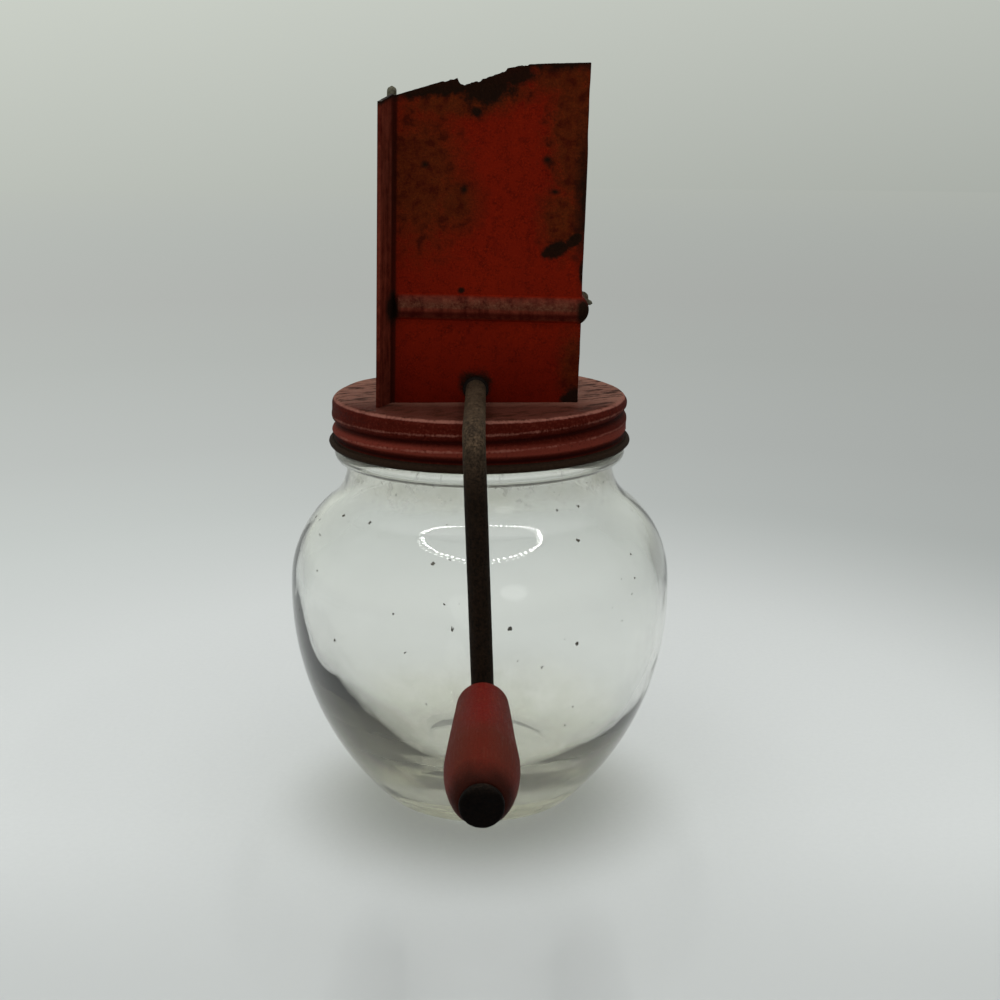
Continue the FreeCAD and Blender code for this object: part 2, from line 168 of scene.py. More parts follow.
def lathe(section, sides, shape):
    """Points and faces of a half section turned about Z. shape moves a point by its angle."""
    points, rings, faces = [], [], []
    for index, (radius, height) in enumerate(section):
        ring = []
        for side in range(1 if radius < 1e-6 else sides):
            angle = 2 * math.pi * side / sides
            moved_r, moved_z = shape(index, angle, radius, height)
            ring.append(len(points))
            points.append((moved_r * math.cos(angle), moved_r * math.sin(angle), moved_z))
        rings.append(ring)
    for low, high in zip(rings, rings[1:]):
        for side in range(sides):
            after = (side + 1) % sides
            if len(low) == 1:
                faces.append((low[0], high[after], high[side]))
            elif len(high) == 1:
                faces.append((low[side], low[after], high[0]))
            else:
                faces.append((low[side], low[after], high[after], high[side]))
    return points, faces


def from_helix(angle, height, middle_z, start_deg, end_deg):
    """Distance along Z from the nearest turn of the thread, and how much of it is there."""
    best, presence = THREAD_PITCH, 0.0
    degrees = math.degrees(angle) - 360
    while degrees < end_deg + 20:
        fade = min(degrees - start_deg, end_deg - degrees) / 12
        gap = height - (middle_z + THREAD_PITCH * (degrees - 180) / 360)
        if fade > 0 and abs(gap) < abs(best):
            best, presence = gap, min(fade, 1.0)
        degrees += 360
    return best, presence


outside = [(0, 0.95)] + run((4, 0.95), (16.5, 0.7), 6)
outside += run((18.5, 0.15), (19.6, 0), 2) + arc(23.84, 6, 6, -90, -44.1, 12)
outside += arc(*BELLY, 80, -44.1, 3.94, 60)[1:] + arc(*SHOULDER, 27, 3.94, 52.9, 30)[1:]
outside += arc(47.1, 92.25, 12, 232.9, 180, 14)[1:] + [(35.1, 93.0), (35.1, 93.7), (35.3, 94.0)]
outside += run((35.6, 94.0), (36.7, 94.0), 2) + arc(36.36, 95.76, 1.84, -73, 90, 16)
outside += run((36.2, 97.8), (36.2, 108.3), 52) + arc(35.2, 108.35, 1.0, 10, 90, 5)
inside = arc(33.0, 108.35, 1.0, 90, 180, 6) + run((32, 107.5), (32, 93.5), 8)
inside += arc(47.0, 92.57, 15, 180, 233.3, 16) + arc(*SHOULDER, 24.2, 53.3, 3.94, 28)[1:]
inside += arc(*BELLY, 77.2, 3.94, 0, 3)[1:] + arc(-11.1, 57.5, 59, 0, -55.7, 52)[1:]
inside += arc(21.3, 10.0, 1.5, -55.7, -90, 6)[1:]
inside += [(20.9, 8.55), (20.3, 8.95), (19.5, 9.2), (18.7, 9.0)]
inside += run((18.0, 8.8), (3, 8.6), 6) + [(0, 8.6)]
jar_section = outside + inside


def jar_shape(index, angle, radius, height):
    """Lay the thread round the mouth and let the walls wave a little."""
    at = Vector((radius * math.cos(angle), radius * math.sin(angle), height))
    if index < len(outside):
        wave = 0.05 * noise.noise(at / 16) - 0.05
        if height < 11:
            mould_line = math.sin(2.4 * height + 3 * noise.noise(at / 18))
            wave -= 0.06 * (1 + mould_line) * math.sin(math.pi * height / 11)
        if height > 99 and radius > 36:
            gap, presence = from_helix(angle, height, THREAD_MIDDLE_Z, -90, 270)
            if abs(gap) < THREAD_BULGE:
                wave += presence * math.sqrt(THREAD_BULGE ** 2 - gap ** 2)
        return radius + (wave if radius > 20 else 0), height
    wave = 0.22 * noise.noise(at / 14 + Vector((7, 3, 5)))
    thin_side = 2.3 * math.cos(angle - 0.1) * math.exp(-((height - 20) / 20) ** 2)
    if radius < 22:
        return radius + thin_side * radius / 22, height + 1.8 * wave
    return radius + wave + thin_side, height


def make_clear_glass():
    """Old pressed glass: clear, faintly straw where thick, with film and a few stuck specks."""
    material, place = start_material("clear pressed glass, dusty")
    crumbs = add(material, "TexVoronoi", {"Vector": place, "Scale": 1 / 8.5})
    crumb_shape = pattern(material, place, 0.5, 1)
    ragged = maths(material, "MULTIPLY", crumb_shape, 0.09)
    chance = axis(material, crumbs.outputs["Color"], 0)
    crumb_size = maths(material, "MULTIPLY_ADD", chance, 1.1, 0.35)
    sized = maths(material, "MULTIPLY", ragged, crumb_size)
    speck = maths(material, "LESS_THAN", crumbs.outputs["Distance"], sized)
    height = axis(material, place, 2)
    low = ramp(material, height, 26, 9, 0, 0.17, smooth=True)
    neck = ramp(material, height, 84, 92, 0, 0.2, smooth=True)
    below_bead = ramp(material, height, 95.0, 93.8, 0.15)
    neck = maths(material, "MULTIPLY", neck, below_bead)
    film = pattern(material, place, 12, 5, 0.65)
    film_part = ramp(material, film, 0.35, 0.7, 0.5, 1.3)
    both = maths(material, "ADD", low, neck)
    haze = maths(material, "MULTIPLY", both, film_part, clamp=True)
    dimmed = maths(material, "SUBTRACT", 0.995, haze)
    scuff_noise = pattern(material, place, 4, 6, 0.75)
    scuffs = ramp(material, scuff_noise, 0.56, 0.74, 0, 4.0)
    scuffed = maths(material, "MULTIPLY", scuffs, neck, clamp=True)
    dirt = maths(material, "MAXIMUM", speck, scuffed)
    clear = maths(material, "SUBTRACT", dimmed, dirt, clamp=True)
    film_rough = ramp(material, film, 0.5, 0.75, 0.0, 0.02)
    rough = maths(material, "MULTIPLY_ADD", speck, 0.6, film_rough)
    tint = ramp(material, haze, 0, 0.3)
    tinted = mix(material, tint, "FEFFFE", "E8E8DA")
    dirty = mix(material, scuffed, tinted, "84847A")
    colour = mix(material, speck, dirty, "3A3428")
    ripple = pattern(material, place, 9, 1)
    end_material(material, colour, rough, ripple, 0.06,
                 {"Transmission Weight": clear, "IOR": 1.5})
    depth = add(material, "VolumeAbsorption", {"Color": linear("C0BCA0"), "Density": 20.0})
    output = material.node_tree.nodes["Material Output"]
    material.node_tree.links.new(depth.outputs[0], output.inputs["Volume"])
    return material


jar_points, jar_faces = lathe(jar_section, JAR_SIDES, jar_shape)
jar = mesh_piece("jar_glass", jar_points, jar_faces, make_clear_glass())
jar.visible_shadow = False
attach(jar, "jar")
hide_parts("glass_jar")


# Liner
# A ring of grey-brown paperboard between the jar's rim and the lid, pressed flat by use.
def make_paperboard():
    """Aged paperboard: dull, fibrous, darker where oil has soaked in."""
    material, place = start_material("aged paperboard")
    fibres = pattern(material, place, 0.6, 4)
    stains = pattern(material, place, 9, 2)
    dark = ramp(material, stains, 0.45, 0.65)
    colour = mix(material, dark, "A89070", "6E5A40")
    return end_material(material, colour, 0.9, fibres, 0.08)


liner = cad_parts["lid_liner"].data
liner.materials.clear()
liner.materials.append(make_paperboard())


# Screw lid
# Tinplate 0.4 mm thick with a thread groove rolled round its skirt and a curled foot.
# The faded red paint has gone from the shoulder and the crests, and the curl is bare rust.
LID_SIDES = 288
LID_TOP_Z = 110.75
GROOVE_MIDDLE_Z = 103.7
GROOVE_TURN = (20, 400)
GROOVE_DEPTH, GROOVE_HALF = 1.2, 0.85
LID_SHEET = 0.4
lid_section = arc(38.6, 98.75, 0.9, -180, 122, 26) + [(38.02, 99.7), (38.0, 100.0)]
lid_section += run((38.0, 100.2), (38.0, 101.1), 4) + run((38.03, 101.3), (38.5, 101.9), 5)
lid_section += run((38.5, 102.1), (38.5, 108.7), 34) + arc(36.5, 108.75, 2.0, 0, 90, 12)
lid_section += run((36.0, 110.72), (1.0, LID_TOP_Z), 30) + [(0, LID_TOP_Z)]


def lid_shape(index, angle, radius, height):
    """Roll the thread groove into the skirt, with the small dents of long use."""
    at = Vector((radius * math.cos(angle), radius * math.sin(angle), height))
    if radius > 37.9 and 101.2 < height < 109.4:
        gap, presence = from_helix(angle, height, GROOVE_MIDDLE_Z, *GROOVE_TURN)
        radius -= presence * GROOVE_DEPTH * math.exp(-(gap / GROOVE_HALF) ** 2)
        radius += presence * 0.16 * math.exp(-((abs(gap) - 2.1) / 0.8) ** 2)
    dent = 0.16 * noise.noise(at / 11) + 0.05 * noise.noise(at / 3)
    if radius > 37 and height < 108:
        return radius + dent, height
    return radius, height + 0.9 * dent * min(radius / 20, 1)


def finished(piece):
    """Turn a piece and its modifiers into one plain mesh."""
    evaluated = piece.evaluated_get(bpy.context.evaluated_depsgraph_get())
    mesh = bpy.data.meshes.new_from_object(evaluated)
    piece.modifiers.clear()
    piece.data = mesh
    return piece


def cut_away(piece, tools):
    """Cut closed tools out of a piece."""
    for tool in tools:
        cut = piece.modifiers.new("cut", "BOOLEAN")
        cut.operation = "DIFFERENCE"
        cut.object = tool
    finished(piece)
    for tool in tools:
        bpy.data.objects.remove(tool)


def block(x0, x1, y0, y1, z0, z1):
    """A closed box in millimetres, used only to cut."""
    points = [(x, y, z) for x in (x0, x1) for y in (y0, y1) for z in (z0, z1)]
    faces = [(0, 1, 3, 2), (4, 6, 7, 5), (0, 4, 5, 1), (2, 3, 7, 6), (0, 2, 6, 4), (1, 5, 7, 3)]
    return mesh_piece("cutter", points, faces, bare_tin)


def make_bare_tin(name, colour_hex, rust_hex, rust_from):
    """Dull tinplate or tinned steel, with rust blooming through in small spots."""
    material, place = start_material(name)
    bloom = pattern(material, place, 5, 6, 0.65)
    rust = ramp(material, bloom, rust_from, rust_from + 0.12)
    colour = mix(material, rust, colour_hex, rust_hex)
    metal = ramp(material, rust, 0, 1, 0.85, 0.1)
    rough = ramp(material, rust, 0, 1, 0.42, 0.9)
    grit = pattern(material, place, 0.5, 3)
    return end_material(material, colour, rough, grit, 0.06, {"Metallic": metal})


bare_tin = make_bare_tin("dull tinplate, rust-spotted", "8E8A82", "4A2A16", 0.5)


def make_lid_paint():
    """Faded red enamel on tinplate: dull deep red, rubbed dusty on top and streaked, with painted
    shade in its grooves and on the front of its top.
    """
    material, place = start_material("faded red enamel on tinplate")
    axes = add(material, "SeparateXYZ", {0: place})
    flat = add(material, "CombineXYZ", {0: axes.outputs[0], 1: axes.outputs[1]})
    radius = length(material, flat.outputs[0])
    patches = pattern(material, place, 7, 5, 0.62)
    grit = pattern(material, place, 0.7, 4, 0.7)
    turned = add(material, "VectorRotate", {"Vector": place, "Angle": math.radians(-24)},
                 rotation_type="Z_AXIS").outputs[0]
    streak_place = stretched(material, turned, (0.2, 0.55, 0.5))
    streaks = pattern(material, streak_place, 1.0, 5, 0.62)
    top = ramp(material, axes.outputs[2], 109.9, 110.5)
    faded = mix(material, patches, "310802", "451109")
    below_groove = ramp(material, axes.outputs[2], 104.6, 103.4, 0, 0.85)
    above_foot = ramp(material, axes.outputs[2], 101.2, 101.9)
    foot_band = maths(material, "MULTIPLY", below_groove, above_foot)
    banded = mix(material, foot_band, faded, "662A20")
    chalk = ramp(material, grit, 0.52, 0.76, 0, 0.4)
    chalky = mix(material, chalk, banded, "70382C")
    specks = ramp(material, grit, 0.42, 0.3, 0, 0.8)
    speckled = mix(material, specks, chalky, "1E0803")
    dusty = mix(material, patches, "70463A", "906858")
    # Painted shade: the top is painted darker in front of the hopper, where the hopper shades it.
    front = ramp(material, axes.outputs[1], -9.0, -21.0, 0, 0.85)
    top_colour = mix(material, front, dusty, "3A1009")
    reach = ramp(material, radius, 22, 32, 0.3, 0.95)
    rubbed = ramp(material, streaks, 0.5, 0.6)
    rubbed_part = maths(material, "MULTIPLY", rubbed, reach)
    rubbed_top = mix(material, rubbed_part, top_colour, "33180F")
    top_speckled = mix(material, specks, rubbed_top, "2A120B")
    painted = mix(material, top, speckled, top_speckled)
    crest = painted_on(material, "crest")
    crest_wear = maths(material, "ADD", patches, grit)
    crest_part = maths(material, "MULTIPLY", crest, crest_wear)
    worn = ramp(material, crest_part, 0.62, 1.0, 0, 0.85)
    rubbed_crest = mix(material, worn, painted, "85564A")
    # Painted shade: the thread groove and the foot groove are painted darker.
    groove = painted_on(material, "groove")
    darkened = mix(material, groove, rubbed_crest, "1C0301")
    curl = painted_on(material, "curl")
    curl_ragged = maths(material, "MULTIPLY_ADD", patches, 0.35, curl)
    rusty = ramp(material, curl_ragged, 0.5, 0.72)
    rust_colour = mix(material, grit, "080402", "33251B")
    colour = mix(material, rusty, darkened, rust_colour)
    rough = ramp(material, grit, 0.3, 0.7, 0.5, 0.75)
    return end_material(material, colour, rough, grit, 0.12, {"Specular IOR Level": 0.02})


lid_points, lid_faces = lathe(lid_section, LID_SIDES, lid_shape)
crests, grooves, curls = [], [], []
for x, y, z in lid_points:
    distance = math.hypot(x, y)
    gap, presence = from_helix(math.atan2(y, x) % (2 * math.pi), z, GROOVE_MIDDLE_Z, *GROOVE_TURN)
    skirt = distance > 36.5 and 101.6 < z
    shoulder = math.exp(-((z - 110.2) / 0.55) ** 2) * (distance > 36.3)
    lip = 0.75 * presence * math.exp(-((abs(gap) - 2.0) / 0.8) ** 2) * skirt
    step = 0.5 * math.exp(-((z - 102.1) / 0.4) ** 2) * (distance > 37)
    crests.append(max(shoulder, lip, step))
    # Painted shade: these values mark the thread groove and the foot groove for darker paint.
    foot_groove = math.exp(-((z - 100.6) / 0.6) ** 2) * (distance > 37)
    grooves.append(max(0.75 * presence * math.exp(-(gap / 0.6) ** 2) * skirt, foot_groove))
    curls.append(1.0 if z < 99.8 and distance > 37 else 0.0)
lid = mesh_piece("painted_lid", lid_points, lid_faces, make_lid_paint(),
                 crest=crests, groove=grooves, curl=curls)
lid.data.materials.append(bare_tin)
wall = lid.modifiers.new("sheet", "SOLIDIFY")
wall.thickness = LID_SHEET / 1000
wall.offset = -1
wall.material_offset = 1
cut_away(lid, [block(-21.3, 23.45, -14.45, 14.45, 108, 113)])
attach(lid, "lid")
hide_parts("screw_lid")


# Hopper
# One sheet of tinplate folded into four walls that meet in a standing seam at the front left
# corner. A half-round bead stiffens the front and right walls. The front edge is torn and
# scorched, the red paint is dark with age, and rust has come up in patches. It leans 1.5 degrees.
SHEET, CORNER_R = 0.45, 0.7
LEFT_X, RIGHT_X, FRONT_Y, BACK_Y = -22.3, 24.9, -14.9, 14.9
SEAM_X, SEAM_Y = 3.2, 6.8
HOPPER_MIDDLE_X = 1.3
LEAN = math.radians(1.5)
BEAD_Z, BEAD_HALF, BEAD_PROUD = 134.6, 3.3, 1.9
BEAD_R = (BEAD_HALF ** 2 + BEAD_PROUD ** 2) / (2 * BEAD_PROUD)
TORN_EDGE = [
    (-30.0, 182.6), (-20.5, 185.3), (-6.0, 189.4), (-4.8, 189.6), (-4.2, 188.5), (-3.2, 188.0),
    (-1.4, 188.7), (0.7, 189.0), (1.6, 189.6), (6.5, 191.2), (7.0, 191.9), (9.9, 192.5),
    (16.6, 192.8), (30.0, 193.1),
]


def torn_z(x):
    """Height of the torn front edge, with the small nicks of torn tin."""
    for (x0, z0), (x1, z1) in zip(TORN_EDGE, TORN_EDGE[1:]):
        if x <= x1:
            nick = 0.3 if -8 < x < 12 else 0.06
            jag = nick * (noise.noise(Vector((x * 1.3, 0, 9))) - 1)
            return z0 + (z1 - z0) * (x - x0) / (x1 - x0) + jag
    return TORN_EDGE[-1][1]


def leaned(x, y, z):
    """Where a point of the upright hopper lies once it leans."""
    dx, dz = x - HOPPER_MIDDLE_X, z - LID_TOP_Z
    return (HOPPER_MIDDLE_X + dx * math.cos(LEAN) + dz * math.sin(LEAN), y,
            LID_TOP_Z - dx * math.sin(LEAN) + dz * math.cos(LEAN))


def upright_z(x, z):
    """The height on the upright hopper that ends at height z once it leans."""
    return LID_TOP_Z + (z - LID_TOP_Z + (x - HOPPER_MIDDLE_X) * math.sin(LEAN)) / math.cos(LEAN)


def sheet_path():
    """Outline of the hopper seen from above: x, y, outward x, outward y, bead, front or not."""
    path = []
    right, back = RIGHT_X - CORNER_R, BACK_Y - CORNER_R
    front, left = FRONT_Y + CORNER_R, LEFT_X + CORNER_R

    def corner(middle_x, middle_y, turns, beaded=0):
        """A rounded corner: points of a small arc."""
        for degrees in turns:
            out_x, out_y = math.cos(math.radians(degrees)), math.sin(math.radians(degrees))
            path.append((middle_x + CORNER_R * out_x, middle_y + CORNER_R * out_y,
                         out_x, out_y, beaded, beaded and degrees < -50))

    seam_out = Vector((0.915, -0.404))
    for step in range(8):
        share = step / 8
        path.append((LEFT_X - SEAM_X + 0.9 + 2.7 * share, FRONT_Y - SEAM_Y + SEAM_Y * share,
                     *seam_out, 0, 0))
    start_x = LEFT_X + SHEET
    for step in range(109):
        x = start_x + (right - start_x) * (step / 108)
        path.append((x, FRONT_Y, 0, -1, min(1, step / 3), 1))
    corner(right, front, (-72, -54, -36, -18), 1)
    for step in range(41):
        y = front + (BACK_Y - FRONT_Y - 2 * CORNER_R) * step / 40
        path.append((RIGHT_X, y, 1, 0, min(1, (40 - step) / 2), 0))
    corner(right, back, (22, 45, 68))
    for step in range(41):
        path.append((right - (RIGHT_X - LEFT_X - 2 * CORNER_R) * step / 40, BACK_Y, 0, 1, 0, 0))
    corner(left, back, (112, 135, 158))
    for step in range(31):
        path.append((LEFT_X, back - (BACK_Y - FRONT_Y - 1.2) * step / 30, -1, 0, 0, 0))
    for step in range(1, 9):
        share = step / 8
        path.append((LEFT_X - SEAM_X * share, FRONT_Y + SHEET - (SEAM_Y + SHEET) * share,
                     -seam_out.x, -seam_out.y, 0, 0))
    return path


def hopper_sheet():
    """The outer face of the hopper's sheet, with how far each point is from the top edge."""
    path = sheet_path()
    lower = [0, 1.5, 4, 7, 10, 13, 16, 18.6, 20]
    lower += [BEAD_Z - LID_TOP_Z - BEAD_HALF + BEAD_HALF * step / 9 for step in range(19)]
    lower += [28.6, 30, 33, 36, 39, 42, 45, 48, 51, 54, 57, 60]
    upper_rows = 16
    points, below_top, bead, fold, rows = [], [], [], [], len(lower) + upper_rows
    for x, y, out_x, out_y, beaded, is_front in path:
        seam = y < FRONT_Y - 0.1 and x < LEFT_X + 0.8
        if is_front:
            reach = RIGHT_X - LEFT_X
            guess = x + math.sin(LEAN) * (78 + 4 * (x - LEFT_X) / reach)
            top = upright_z(x, torn_z(guess))
        elif seam:
            rise_in = 2.0 * (y - FRONT_Y + SEAM_Y) / SEAM_Y
            top = upright_z(x, 183.9 + rise_in + 0.12 * noise.noise(Vector((x, y, 0))))
        else:
            share = (x - LEFT_X) / (RIGHT_X - LEFT_X)
            top = upright_z(x, 184.6 + 7.8 * share)
            if y < FRONT_Y + 3 and x > RIGHT_X - 1:
                top = upright_z(x, 192.4 + 0.6 * (FRONT_Y + 3 - y) / 3)
        foot = upright_z(x, LID_TOP_Z + 0.02)
        for row in range(rows):
            if row < len(lower):
                z = LID_TOP_Z + lower[row] if row else foot
                z = max(z, foot)
            else:
                share = (row - len(lower) + 1) / upper_rows
                z = LID_TOP_Z + lower[-1] + (top - LID_TOP_Z - lower[-1]) * share
            off = z - BEAD_Z
            rise = 0.0
            if abs(off) < BEAD_HALF:
                rise = (math.sqrt(BEAD_R ** 2 - off ** 2) - (BEAD_R - BEAD_PROUD)) * beaded
            hold = min(1, (z - foot) / 8)
            dent = hold * (0.30 * noise.noise(Vector((x, y * 1.7, z)) / 17)
                           + 0.10 * noise.noise(Vector((x, y, z)) / 5))
            reach = rise + (0 if seam else dent)
            points.append(leaned(x + out_x * reach, y + out_y * reach, z))
            below_top.append(top - z)
            # Below the bead's crest this value turns negative, and the paint uses it for painted
            # shade under the bead.
            upper = min(1.0, max(-1.0, (off + 0.7) / 0.8))
            bead.append(max(rise / BEAD_PROUD, 0.0) ** 1.8 * upper)
            # Painted shade: the fold value marks a dark line painted in the seam's fold.
            fold.append(0.85 if abs(x - LEFT_X - 0.5) < 0.5 and abs(y - FRONT_Y) < 1.2 else 0.0)
    faces = []
    for column in range(len(path)):
        after = (column + 1) % len(path)
        for row in range(rows - 1):
            low, next_low = column * rows + row, after * rows + row
            faces.append((low, next_low, next_low + 1, low + 1))
    return points, faces, below_top, bead, fold


# Stains on the front wall: x, z, half width, half height, turn in degrees, softness
RUST_CLOUDS = [
    (-14.0, 166, 10, 17, 0, 0.8), (24.0, 176, 7, 19, 0, 0.6), (-3, 184.6, 17, 4.5, 8, 0.7),
    (21, 189.5, 9, 4.5, 0, 0.8), (21, 156, 6, 8, 0, 0.8), (-6, 160, 6, 7, 0, 1.0),
    (24, 119, 4, 9, 0, 0.8),
]
# Scorch marks on the front wall, with one patch of painted shade round the rod hole: x, z, half
# width, half height, turn in degrees, softness
SCORCH_AND_SHADE_MARKS = [
    (-13.0, 186.7, 7.5, 1.6, 13, 0.9), (-5.5, 188.4, 9.0, 2.5, 12, 0.5),
    (2.5, 188.0, 7.0, 4.6, 10, 0.5), (8.8, 190.5, 5.4, 3.2, 8, 0.6),
    (19.5, 148.8, 3.6, 1.8, 22, 0.5), (23.4, 151.0, 2.8, 1.4, 32, 0.45),
    (16.9, 147.9, 1.5, 0.9, 20, 0.5),
    (-0.3, 181.7, 1.3, 1.2, 0, 0.8), (-4.3, 138.9, 0.8, 0.7, 0, 0.7),
    (24.3, 112.2, 2.6, 2.7, 0, 0.5), (22.0, 111.6, 1.6, 1.3, 0, 0.8),
    # The mark at x -0.8, z 115.6 is painted shade round the top of the rod hole.
    (-0.8, 115.6, 3.9, 3.5, 0, 0.5), (25.6, 143.5, 0.9, 3.2, 0, 0.6),
    (-21.3, 134.6, 1.5, 3.8, 0, 0.7), (26.2, 133.6, 1.9, 3.4, 0, 0.6),
    (25.6, 160, 1.6, 14, 0, 1.6), (20, 192.8, 12, 1.5, 0, 1.2), (-12.9, 169.3, 0.8, 0.7, 0, 1.5),
    (-3.4, 163.3, 0.8, 0.8, 0, 1.5), (16.7, 170.4, 1.0, 0.9, 0, 1.4),
    (18.6, 162.8, 1.2, 0.6, 0, 1.4),
]


def make_hopper_paint():
    """Dark orange-red enamel on old tinplate, mottled with rust, sooty along the torn edge, with
    painted shade at its foot, in the seam's fold, under the bead and round the rod hole.
    """
    material, place = start_material("orange-red enamel, rusting")
    axes = add(material, "SeparateXYZ", {0: place})
    x, y, z = axes.outputs
    broad = pattern(material, place, 11, 4, 0.55)
    mottle = pattern(material, place, 2.6, 6, 0.7)
    grit = pattern(material, place, 0.5, 3, 0.75)
    front = ramp(material, y, -13.0, -14.3)

    def stain_mask(stains, ragged, strength):
        """The union of soft-edged ovals, broken up by a pattern."""
        mask = None
        for at_x, at_z, half_x, half_z, degrees, soft in stains:
            moved = add(material, "VectorMath", {0: place, 1: (at_x, 0, at_z)},
                        operation="SUBTRACT").outputs[0]
            turned = add(material, "VectorRotate", {"Vector": moved,
                                                    "Angle": math.radians(degrees)},
                         rotation_type="Y_AXIS").outputs[0]
            sized = stretched(material, turned, (1 / half_x, 0, 1 / half_z))
            distance = length(material, sized)
            broken = maths(material, "MULTIPLY_ADD", ragged, -strength, distance)
            middle = 1 - strength / 2
            oval = ramp(material, broken, middle + soft / 2, middle - soft / 2)
            mask = oval if mask is None else maths(material, "MAXIMUM", mask, oval)
        return maths(material, "MULTIPLY", mask, front)

    elsewhere = ramp(material, broad, 0.46, 0.6, 0, 0.9)
    not_front = maths(material, "SUBTRACT", 1.0, front)
    other_walls = maths(material, "MULTIPLY", elsewhere, not_front)
    clouds = stain_mask(RUST_CLOUDS, mottle, 2.2)
    rust = maths(material, "MAXIMUM", clouds, other_walls)
    red = mix(material, broad, "580E03", "6A1403")
    grain = maths(material, "ADD", grit, mottle)
    dark_grain = ramp(material, grain, 1.02, 0.66, 0, 0.7)
    grained = mix(material, dark_grain, red, "280401")
    light_grain = ramp(material, grit, 0.58, 0.75, 0, 0.4)
    speckled = mix(material, light_grain, grained, "84270C")
    rust_tone = ramp(material, mottle, 0.4, 0.62)
    rust_colour = mix(material, rust_tone, "4E230C", "200D05")
    rust_grained = mix(material, dark_grain, rust_colour, "1A0B05")
    rust_part = maths(material, "MULTIPLY", rust, 0.78)
    rusted = mix(material, rust_part, speckled, rust_grained)
    # Painted shade: the paint is darker towards the foot of the hopper.
    foot = ramp(material, z, 132, 112, 0, 0.5)
    foot_shaded = mix(material, foot, rusted, "3A0501")
    upright = stretched(material, place, (0.7, 0.7, 0.06))
    scratches = pattern(material, upright, 1.0, 4, 0.65)
    seam_red = ramp(material, y, -15.2, -15.9, 0, 0.85)
    seam_mix = maths(material, "ADD", scratches, mottle)
    seam_tone = ramp(material, seam_mix, 0.8, 1.2)
    seam_colour = mix(material, seam_tone, "34100A", "5E2A1E")
    seam_part = mix(material, seam_red, foot_shaded, seam_colour)
    # Painted shade: a dark line is painted in the fold between the front wall and the seam.
    fold = painted_on(material, "fold")
    folded = mix(material, fold, seam_part, "240904")
    bead = painted_on(material, "bead")
    # Painted shade: the underside of the bead is painted darker.
    underside = ramp(material, bead, -0.1, -0.7, 0, 0.7)
    shaded = mix(material, underside, folded, "2E0301")
    bead_patch = maths(material, "MULTIPLY_ADD", grain, 0.9, bead)
    bead_worn = ramp(material, bead_patch, 1.2, 2.15, 0, 0.95)
    dust = ramp(material, grain, 0.8, 1.35)
    worn_colour = mix(material, dust, "280D06", "64402F")
    beaded = mix(material, bead_worn, shaded, worn_colour)
    marks = stain_mask(SCORCH_AND_SHADE_MARKS, mottle, 1.5)
    edge = painted_on(material, "below_top")
    edge_ragged = maths(material, "MULTIPLY_ADD", mottle, -2.5, edge)
    singed = ramp(material, edge_ragged, 0.0, -1.0)
    # Soot along the torn edge and the marks, with the painted shade round the rod hole among them.
    soot_and_shade = maths(material, "MAXIMUM", marks, singed)
    soot_and_shade_part = maths(material, "MULTIPLY", soot_and_shade, 0.95)
    soot_and_shade_colour = mix(material, grit, "060403", "1E130B")
    colour = mix(material, soot_and_shade_part, beaded, soot_and_shade_colour)
    dull = maths(material, "MAXIMUM", rust, soot_and_shade)
    rough = ramp(material, dull, 0, 1, 0.5, 0.9)
    relief = maths(material, "MULTIPLY", dull, grit)
    relief_all = maths(material, "MULTIPLY_ADD", grit, 0.4, relief)
    return end_material(material, colour, rough, relief_all, 0.14, {"Specular IOR Level": 0.02})


def drill(x, z, radius, y0, y1, sides=48):
    """A closed round bar along Y, used only to cut. The holes it leaves are black with rust."""
    points = []
    for y in (y0, y1):
        for side in range(sides):
            angle = 2 * math.pi * side / sides
            points.append((x + radius * math.cos(angle), y, z + radius * math.sin(angle)))
    faces = [tuple(range(sides)), tuple(range(2 * sides - 1, sides - 1, -1))]
    for side in range(sides):
        after = (side + 1) % sides
        faces.append((side, sides + side, sides + after, after))
    return mesh_piece("cutter", points, faces, rusted_tin)


rusted_tin = make_bare_tin("tinplate, brown with rust", "2C2119", "1A0E08", 0.35)
sheet_points, sheet_faces, sheet_edge, sheet_bead, sheet_fold = hopper_sheet()
hopper = mesh_piece("hopper_sheet", sheet_points, sheet_faces, make_hopper_paint(),
                    below_top=sheet_edge, bead=sheet_bead, fold=sheet_fold)
hopper.data.materials.append(rusted_tin)
hopper_wall = hopper.modifiers.new("sheet", "SOLIDIFY")
hopper_wall.thickness = SHEET / 1000
hopper_wall.offset = -1
hopper_wall.material_offset = 1
hopper_wall.material_offset_rim = 1
cut_away(hopper, [drill(-0.8, 114.2, 3.25, -17, 0), drill(-0.8, 113.9, 2.7, 0, 17)])
hopper.data.set_sharp_from_angle(angle=math.radians(38))
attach(hopper, "lid")
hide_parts("hopper_shell")


# Cutter
# Toothed combs under the lid, blades, spacers and washers on the shaft: dull tinned steel.
# The washers lie in old oil and are brown with rust.
tinned_steel = make_bare_tin("tinned steel, dull", "9A968E", "4E3020", 0.56)
for name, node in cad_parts.items():
    if name.endswith("_comb") or name.startswith(("cutter_blade", "spacer")) or "washer" in name:
        node.data.materials.clear()
        node.data.materials.append(rusted_tin if "washer" in name else tinned_steel)


# Crank rod
# One round mild-steel bar, bent cold: shaft through the hopper, arm, and spindle for the grip.
# It has a brown-black rust skin, painted paler greyish over the upper bend as a painted highlight.
SHAFT_X, SHAFT_Z, CRANK_R, ARM_Y = -0.8, 113.9, 59.2, -71.0
ARM_LEAN = math.radians(1.75)
ROD_R = 2.55


def hung(point):
    """Swing a point with the crank, which hangs a little off the vertical."""
    x, y, z = point
    drop = z - SHAFT_Z
    return (SHAFT_X + x * math.cos(ARM_LEAN) - drop * math.sin(ARM_LEAN), y,
            SHAFT_Z + x * math.sin(ARM_LEAN) + drop * math.cos(ARM_LEAN))


